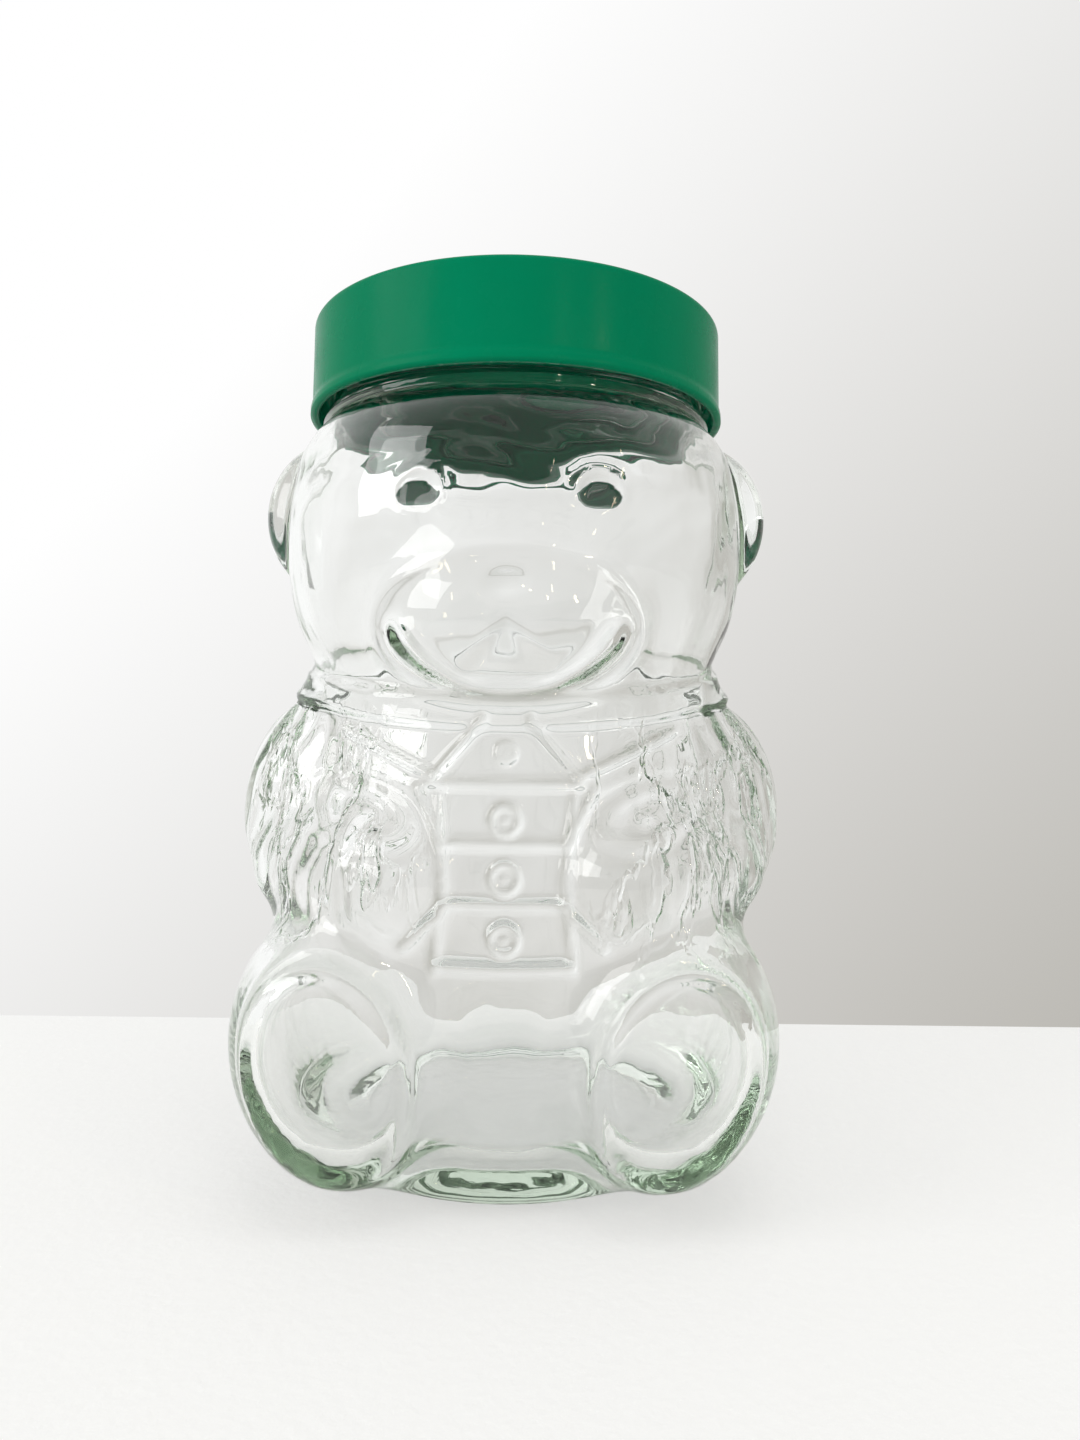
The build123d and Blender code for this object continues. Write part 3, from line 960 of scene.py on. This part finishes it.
def floor_material(looks):
    """White emulsion paint on a board, with a roller's fine stipple.

    What the camera sees of it, directly or through glass, is in part an even white, and the rest
    keeps the jar's shadow.
    """
    material, nodes, links, output = new_material("Painted Board")
    shader = nodes.new("ShaderNodeBsdfPrincipled")
    shader.inputs["Base Color"].default_value = looks.floor_colour
    shader.inputs["Roughness"].default_value = 0.75
    stipple = drawn_noise(nodes, scale=420.0, detail=5.0)
    fine = bumped(nodes, links, stipple, distance=0.6 * MM, strength=0.5)
    links.new(fine, shader.inputs["Normal"])
    even = nodes.new("ShaderNodeEmission")
    even.inputs["Color"].default_value = looks.floor_even
    rays = nodes.new("ShaderNodeLightPath")
    eye = rays.outputs["Is Camera Ray"]
    glass = rays.outputs["Is Transmission Ray"]
    eye_share = calculated(nodes, links, "MULTIPLY", eye, looks.even_direct)
    glass_share = calculated(nodes, links, "MULTIPLY", glass, looks.even_through)
    part = calculated(nodes, links, "MAXIMUM", eye_share, glass_share)
    surface = mixed_shader(nodes, links, part, shader.outputs["BSDF"], even.outputs["Emission"])
    links.new(surface, output.inputs["Surface"])
    return material


class BEARJAR_OT_glass(bpy.types.Operator):
    """Makes the glass jar as one closed skin"""

    bl_idname = "bear_jar.glass"
    bl_label = "Glass Jar"

    def execute(self, context):
        body = context.scene.bear_jar_body
        relief = context.scene.bear_jar_relief
        finish = context.scene.bear_jar_finish
        columns = 288
        closer_in_front = 0.48
        shoulder = 155.4 * MM
        outer_pole_rows = 34
        outer_levels = (22 * MM, 44 * MM, 104 * MM, shoulder)
        outer_rows = (20, 90, 56)
        inner_pole_rows = 22
        inner_levels = (30 * MM, shoulder - 1 * MM)
        inner_rows = (74,)

        def outer(x, y, z):
            return outside_distance(x, y, z, body, relief)

        def inner(x, y, z):
            return inside_distance(x, y, z, body, relief)

        turn = turns(columns, closer_in_front)
        start, heading = ray_fan(turn, outer_pole_rows, outer_levels, outer_rows)
        outer_grid = outermost(outer, start, heading, reach=85 * MM)
        outer_grid = settled(outer, outer_grid, rounds=22)
        start, heading = ray_fan(turn, inner_pole_rows, inner_levels, inner_rows)
        inner_grid = outermost(inner, start, heading, reach=75 * MM)
        inner_grid = settled(inner, inner_grid, rounds=14)[::-1]
        neck = neck_rows(turn, finish, body, shoulder)
        grid = np.concatenate([outer_grid, neck, inner_grid])
        low_pole = (0.0, axis_y, body.push_up)
        high_pole = (0.0, axis_y, body.floor_glass)
        jar = skin_piece("jar_glass_bear", grid, low_pole, high_pole)
        jar.data.materials.append(jar_glass_material(context.scene.bear_jar_looks))
        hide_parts("glass_jar")
        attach(jar, "jar")
        return {"FINISHED"}


class BEARJAR_OT_lid(bpy.types.Operator):
    """Makes the screw lid, turned about the neck, with the thread inside its skirt"""

    bl_idname = "bear_jar.lid"
    bl_label = "Screw Lid"

    def execute(self, context):
        finish = context.scene.bear_jar_finish
        columns = 256
        panel_rows = 12
        wall_rows = 52
        skirt_rows = 30
        corner_rows = 9
        top_rows = 14
        turn = np.arange(columns) * tau / columns
        low = float(lid_low[2])
        high = float(lid_high[2])
        outer = float(lid_high[0] - lid_low[0]) / 2 - finish.lid_bead
        bore = outer - finish.lid_wall
        under = high - finish.lid_panel
        inner_corner = 0.6 * MM
        bead_edge = 1.2 * MM
        dish_depth = 0.25 * MM
        panel = np.linspace(0.0, bore - inner_corner, panel_rows)[1:]
        wall_z = np.linspace(under - inner_corner, low + 0.4 * MM, wall_rows)
        foot = np.array([[0.25, 0.0], [0.6, 0.0], [1.0, 0.35]])
        climb = np.linspace(low + 0.8 * MM, high - finish.lid_corner, skirt_rows)
        lean = outer - finish.lid_draft * (climb - low) / (high - low)
        flare = finish.lid_bead * inside(climb - low - finish.lid_bead_tall, bead_edge)
        bend = np.linspace(0.0, pi / 2, corner_rows)[1:]
        corner = finish.lid_corner
        top_radius = outer - finish.lid_draft
        over = top_radius - corner + corner * np.cos(bend)
        over_z = high - corner + corner * np.sin(bend)
        top = np.linspace(top_radius - corner, 0.0, top_rows)[1:-1]
        dish = dish_depth * inside(top - 0.9 * top_radius, 2 * MM)
        foot_r = bore + foot[:, 0] * (outer + finish.lid_bead - bore)
        foot_z = low + foot[:, 1] * MM
        radius = np.concatenate([panel, np.full(len(wall_z), bore), foot_r, lean + flare, over, top])
        panel_z = np.full(len(panel), under)
        height = np.concatenate([panel_z, wall_z, foot_z, climb, over_z, high - dish])
        grid = radius[:, None] + np.zeros(columns)
        first = rim_height - finish.thread_below_rim - finish.thread_turns * finish.thread_pitch
        between = -finish.thread_pitch / 2
        raised = thread_height(turn[None, :], wall_z[:, None], first, finish, between)
        grid[len(panel) : len(panel) + len(wall_z)] -= finish.thread_raised * raised
        rows = turned(grid, height, turn)
        low_pole = (0.0, axis_y, under)
        high_pole = (0.0, axis_y, high - dish_depth)
        lid = skin_piece("lid_screw_cap", rows, low_pole, high_pole)
        lid.data.materials.append(lid_plastic_material(context.scene.bear_jar_looks))
        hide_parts("screw_lid")
        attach(lid, "lid")
        return {"FINISHED"}


class BEARJAR_OT_ring(bpy.types.Operator):
    """Makes the sealing ring, a flat band with rounded edges: sines and cosines to a low power"""

    bl_idname = "bear_jar.ring"
    bl_label = "Sealing Ring"

    def execute(self, context):
        columns = 192
        rows = 24
        power = 0.35
        half_width = context.scene.bear_jar_finish.ring_width / 2
        half_tall = float(ring_high[2] - ring_low[2]) / 2
        middle = float(ring_high[2] + ring_low[2]) / 2
        outer = float(ring_high[0] - ring_low[0]) / 2
        turn = np.arange(columns) * tau / columns
        around = np.arange(rows) * tau / rows
        across = np.sign(np.cos(around)) * np.abs(np.cos(around)) ** power
        rise = np.sign(np.sin(around)) * np.abs(np.sin(around)) ** power
        radius = outer - half_width + across * half_width
        points = turned(radius[:, None], middle + rise * half_tall, turn)
        mesh = bpy.data.meshes.new("ring_seal")
        mesh.from_pydata(points.reshape(-1, 3), [], grid_quads(rows, columns, rows))
        ring = finished_piece(mesh)
        ring.data.materials.append(ring_rubber_material(context.scene.bear_jar_looks))
        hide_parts("sealing_ring")
        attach(ring, "ring")
        return {"FINISHED"}


def add_area_light(name, at, towards, size, power, mirrored=False, tint=(1.0, 1.0, 1.0)):
    """A soft lamp at a point, turned towards another, which glass mirrors only where asked."""
    data = bpy.data.lights.new(name, "AREA")
    data.shape = "RECTANGLE"
    data.size = size[0]
    data.size_y = size[1]
    data.energy = power
    data.color = tint
    lamp = bpy.data.objects.new(name, data)
    lamp.location = at
    lamp.rotation_euler = lamp_turn(np.array(towards) - np.array(at))
    lamp.visible_glossy = mirrored
    lamp.visible_transmission = mirrored
    bpy.context.scene.collection.objects.link(lamp)


def lamp_turn(aim):
    """Turn that points a lamp's -Z along a direction, kept upright."""
    flat = sqrt(aim[0] ** 2 + aim[1] ** 2)
    return (np.arctan2(flat, -aim[2]), 0.0, np.arctan2(-aim[0], aim[1]))


def build_world(scene, looks):
    """A white backdrop that darkens downwards to one side, with a dimmer room behind the camera.

    The camera, glossy and transmission rays see it, and mirrored rays find the room dark. Other
    rays get a plain even light.
    """
    world = bpy.data.worlds.new("Studio")
    scene.world = world
    world.use_nodes = True
    nodes = world.node_tree.nodes
    links = world.node_tree.links
    nodes.clear()
    where = nodes.new("ShaderNodeTexCoord")
    split = nodes.new("ShaderNodeSeparateXYZ")
    links.new(where.outputs["Generated"], split.inputs["Vector"])
    sideways = calculated(nodes, links, "SUBTRACT", split.outputs["X"], split.outputs["Z"])
    slant = ranged(nodes, links, sideways, 0.0, 1.0, start=-0.6, end=0.8)
    wall = mixed(nodes, links, slant, looks.wall_light, looks.wall_shade)
    rays = nodes.new("ShaderNodeLightPath")
    eye = rays.outputs["Is Camera Ray"]
    glossy = rays.outputs["Is Glossy Ray"]
    glass = rays.outputs["Is Transmission Ray"]
    mirror = calculated(nodes, links, "SUBTRACT", glossy, glass)
    mirror.node.use_clamp = True
    unlit = mixed(nodes, links, mirror, looks.room_shade, looks.room_dark)
    behind = ranged(nodes, links, split.outputs["Y"], 1.0, 0.0, start=-0.55, end=0.05)
    room = mixed(nodes, links, behind, wall, unlit)
    seen = calculated(nodes, links, "MAXIMUM", eye, glossy)
    seen = calculated(nodes, links, "MAXIMUM", seen, glass)
    backdrop = nodes.new("ShaderNodeBackground")
    links.new(room, backdrop.inputs["Color"])
    even = nodes.new("ShaderNodeBackground")
    even.inputs["Color"].default_value = (1.0, 1.0, 1.0, 1.0)
    even.inputs["Strength"].default_value = looks.even_fill
    light = even.outputs["Background"]
    surface = mixed_shader(nodes, links, seen, light, backdrop.outputs["Background"])
    output = nodes.new("ShaderNodeOutputWorld")
    links.new(surface, output.inputs["Surface"])


class BEARJAR_OT_stage(bpy.types.Operator):
    """Makes the floor, the light and the camera"""

    bl_idname = "bear_jar.stage"
    bl_label = "Stage"

    def execute(self, context):
        scene = context.scene
        looks = scene.bear_jar_looks
        floor_reach = 1.6
        back_edge = 78 * MM
        drop = -0.2 * MM
        centre = (0.0, 0.0, 90 * MM)
        warm = (1.0, 0.86, 0.6)
        camera_aside = 6.1 * MM
        camera_ahead = 229 * MM
        camera_height = 91.6 * MM
        camera_roll = radians(-0.65)
        focal_pixels = 1000
        photo_width = 1080
        mesh = bpy.data.meshes.new("floor")
        corners = [
            (-floor_reach, -floor_reach, drop),
            (floor_reach, -floor_reach, drop),
            (floor_reach, back_edge, drop),
            (-floor_reach, back_edge, drop),
        ]
        mesh.from_pydata(corners, [], [(0, 1, 2, 3)])
        floor = bpy.data.objects.new("floor", mesh)
        floor.data.materials.append(floor_material(looks))
        scene.collection.objects.link(floor)
        build_world(scene, looks)
        add_area_light("lamp_left", (-0.9, -0.45, 0.6), centre, (0.6, 0.6), 4.4, True)
        add_area_light("lamp_top", (0.15, -0.25, 1.2), centre, (0.8, 0.8), 3.6)
        add_area_light("lamp_shelf", (0.52, -0.52, 0.42), centre, (0.02, 0.09), 0.3, True, warm)
        add_area_light("lamp_spot", (0.30, -0.66, 0.42), centre, (0.012, 0.06), 0.16, True, warm)
        data = bpy.data.cameras.new("camera")
        data.sensor_fit = "HORIZONTAL"
        data.sensor_width = 36.0
        data.lens = data.sensor_width * focal_pixels / photo_width
        data.clip_start = 0.01
        camera = bpy.data.objects.new("camera", data)
        camera.location = (camera_aside, axis_y - camera_ahead, camera_height)
        camera.rotation_euler = (radians(90.0), camera_roll, 0.0)
        scene.collection.objects.link(camera)
        scene.camera = camera
        scene.view_settings.view_transform = "Standard"
        scene.cycles.max_bounces = looks.bounces
        scene.cycles.glossy_bounces = looks.bounces
        scene.cycles.transmission_bounces = looks.bounces
        return {"FINISHED"}


class BEARJAR_PT_panel(bpy.types.Panel):
    """Lists the sizes and the pieces"""

    bl_idname = "BEARJAR_PT_panel"
    bl_label = "Bear Jar"
    bl_space_type = "VIEW_3D"
    bl_region_type = "UI"
    bl_category = "Bear Jar"

    def draw(self, context):
        layout = self.layout
        for operator in operators:
            layout.operator(operator.bl_idname)
        for group in settings:
            box = layout.box()
            box.label(text=group.__doc__)
            owner = getattr(context.scene, settings[group])
            for name in group.__annotations__:
                box.prop(owner, name)


settings = {
    BearJarBody: "bear_jar_body",
    BearJarRelief: "bear_jar_relief",
    BearJarFinish: "bear_jar_finish",
    BearJarLooks: "bear_jar_looks",
}
operators = (BEARJAR_OT_glass, BEARJAR_OT_lid, BEARJAR_OT_ring, BEARJAR_OT_stage)


def register():
    """Registers the classes and puts the settings on the scene."""
    for group, name in settings.items():
        bpy.utils.register_class(group)
        setattr(bpy.types.Scene, name, PointerProperty(type=group))
    for operator in operators:
        bpy.utils.register_class(operator)
    bpy.utils.register_class(BEARJAR_PT_panel)


def unregister():
    """Takes the classes and the settings away again."""
    bpy.utils.unregister_class(BEARJAR_PT_panel)
    for operator in reversed(operators):
        bpy.utils.unregister_class(operator)
    for group, name in settings.items():
        delattr(bpy.types.Scene, name)
        bpy.utils.unregister_class(group)


def main():
    """Registers the classes and builds the stage, the jar, the lid and the ring."""
    register()
    bpy.ops.bear_jar.stage()
    bpy.ops.bear_jar.glass()
    bpy.ops.bear_jar.lid()
    bpy.ops.bear_jar.ring()


if __name__ == "__main__":
    main()
